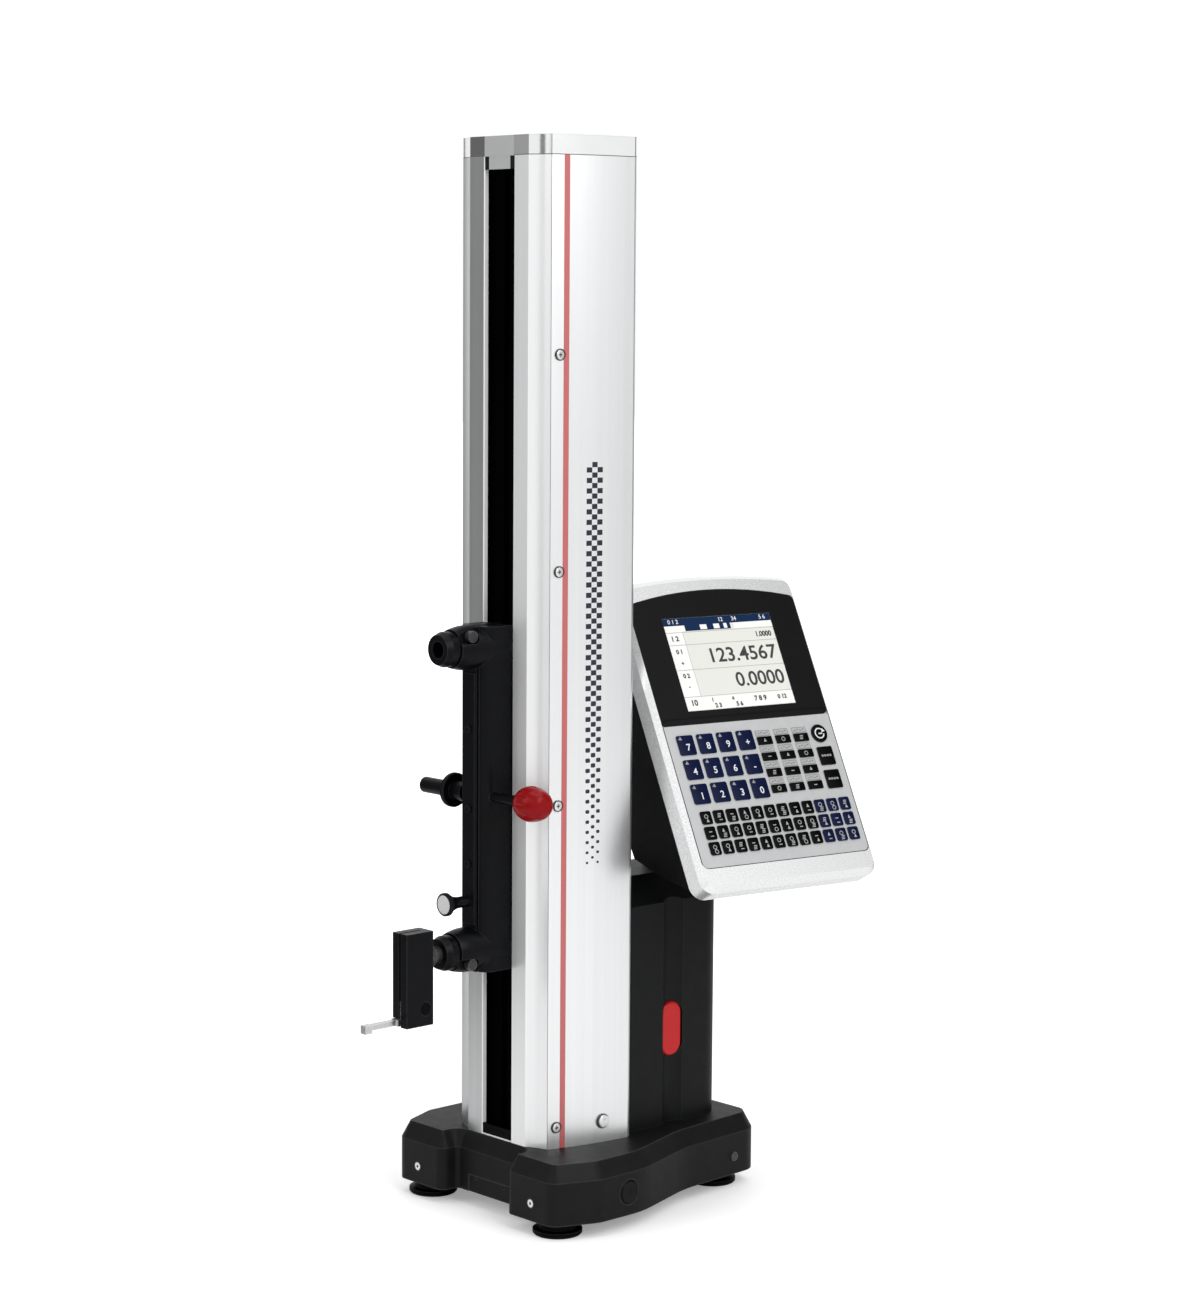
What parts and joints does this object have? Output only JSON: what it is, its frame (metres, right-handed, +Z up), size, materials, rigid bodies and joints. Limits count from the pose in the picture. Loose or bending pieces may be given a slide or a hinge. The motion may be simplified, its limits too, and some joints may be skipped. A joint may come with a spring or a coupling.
{
  "type": "linear height gauge",
  "caption": "Motor driven linear height gauge: column on an air-bearing base, balanced slider with probe, grip housing and a swivelling display head.",
  "frame": {"origin": "under the middle of the whole gauge's box, on the plate it stands on", "axes": "+X out of the side with the knob and the display, +Y from the column's front to its back, +Z up"},
  "size_m": [0.3346, 0.4921, 1.013],
  "materials": {
    "satin_black": "satin",
    "housing_black": "satin",
    "steel_dark": "satin",
    "foot_metal": "turned",
    "screw_steel": "satin",
    "black_plastic": "satin",
    "extrusion": "matt",
    "front_metal": "satin",
    "side_metal": "brushed",
    "lip_rubber": "matt",
    "rail_steel": "ground",
    "glass": "clear",
    "motor_metal": "satin",
    "pump_metal": "satin",
    "iron": "painted",
    "cells": "wrapped",
    "slider_black": "black anodised",
    "red_plastic": "semi gloss",
    "knob_black": "black anodised",
    "bright_face": "turned",
    "silver_cast": "satin silver paint",
    "keypad": "membrane",
    "board": "laminate"
  },
  "bodies": {
    "stand": {"base_casting": "satin_black", "base_floor": "steel_dark", "air_feet": "foot_metal", "base_screws": "screw_steel", "base_plugs": "black_plastic", "column_extrusion": "extrusion", "front_strip_right": "front_metal", "front_strip_left": "front_metal", "side_cover_right": "side_metal", "side_cover_left": "side_metal", "rear_cover": "side_metal", "column_screws": "screw_steel", "column_cap": "front_metal", "slot_sill": "extrusion", "slot_lips": "lip_rubber", "guide_rails": "rail_steel", "linear_scale": "glass", "drive_belt": "lip_rubber", "pulley_axle": "rail_steel", "upper_bracket": "extrusion", "drive_bracket": "extrusion", "drive_motor": "motor_metal", "grip_housing": "housing_black", "battery_door": "housing_black", "battery_pack": "cells", "air_pump": "pump_metal", "button_guide": "black_plastic", "swivel_post": "rail_steel", "swivel_collar": "black_plastic"},
    "slider": {"carriage": "slider_black", "carriage_bearings": "rail_steel", "reading_head": "slider_black", "slider_beam": "slider_black", "slider_cover": "slider_black", "slider_screws": "screw_steel", "boss_collars": "slider_black", "boss_clamp_screws": "screw_steel", "handle_rod": "slider_black"},
    "drive_handle": {"drive_knob": "red_plastic", "knob_shaft": "rail_steel"},
    "slider_lock": {"lock_knob": "knob_black", "lock_knob_face": "bright_face"},
    "probe": {"probe_holder": "slider_black", "probe_shaft": "rail_steel", "holder_screw": "screw_steel", "stylus": "bright_face"},
    "balance_weight": {"counterweight": "iron"},
    "top_pulley": {"upper_pulley": "rail_steel"},
    "motor_pulley": {"drive_pulley": "rail_steel"},
    "float_button": {"air_button": "red_plastic"},
    "display_head": {"display_frame": "silver_cast", "display_bezel": "black_plastic", "screen_glass": "glass", "keypad_sheet": "keypad", "screen_module": "board", "circuit_board": "board", "display_shell": "housing_black"}
  },
  "joints": [
    {"name": "slider_travel", "type": "slide", "parent": "stand", "child": "slider", "axis": [0, 0, 1], "range_m": [-0.15, 0.45]},
    {"name": "counterweight_travel", "type": "slide", "parent": "stand", "child": "balance_weight", "axis": [0, 0, 1], "range_m": [-0.451, 0.151]},
    {"name": "upper_pulley_turn", "type": "hinge", "parent": "stand", "child": "top_pulley", "pos_m": [-0.03727, -0.02207, 0.962], "axis": [-1, 0, 0], "range_deg": [-696, 2083]},
    {"name": "drive_pulley_turn", "type": "hinge", "parent": "stand", "child": "motor_pulley", "pos_m": [-0.03727, -0.02207, 0.104], "axis": [-1, 0, 0], "range_deg": [-696, 2083]},
    {"name": "drive_knob_turn", "type": "hinge", "parent": "slider", "child": "drive_handle", "pos_m": [-0.03727, -0.10907, 0.404], "axis": [1, 0, 0], "continuous": true},
    {"name": "lock_knob_turn", "type": "hinge", "parent": "slider", "child": "slider_lock", "pos_m": [-0.03727, -0.08807, 0.305], "axis": [0, -1, 0], "range_deg": [0, 180]},
    {"name": "probe_swivel", "type": "hinge", "parent": "slider", "child": "probe", "pos_m": [-0.03727, -0.08807, 0.2593], "axis": [0, -1, 0], "range_deg": [-90, 90]},
    {"name": "air_button_press", "type": "slide", "parent": "stand", "child": "float_button", "axis": [-1, 0, 0], "range_m": [0, 0.0025], "stiffness_N_per_m": 900},
    {"name": "display_swivel", "type": "hinge", "parent": "stand", "child": "display_head", "pos_m": [-0.03727, 0.11693, 0.42], "axis": [0, 0, 1], "range_deg": [-5, 45]}
  ],
  "couplings": [
    {"joint": "counterweight_travel", "follows": "slider_travel", "ratio": -1},
    {"joint": "upper_pulley_turn", "follows": "slider_travel", "rad_per_m": 80.645},
    {"joint": "drive_pulley_turn", "follows": "slider_travel", "rad_per_m": 80.645}
  ]
}
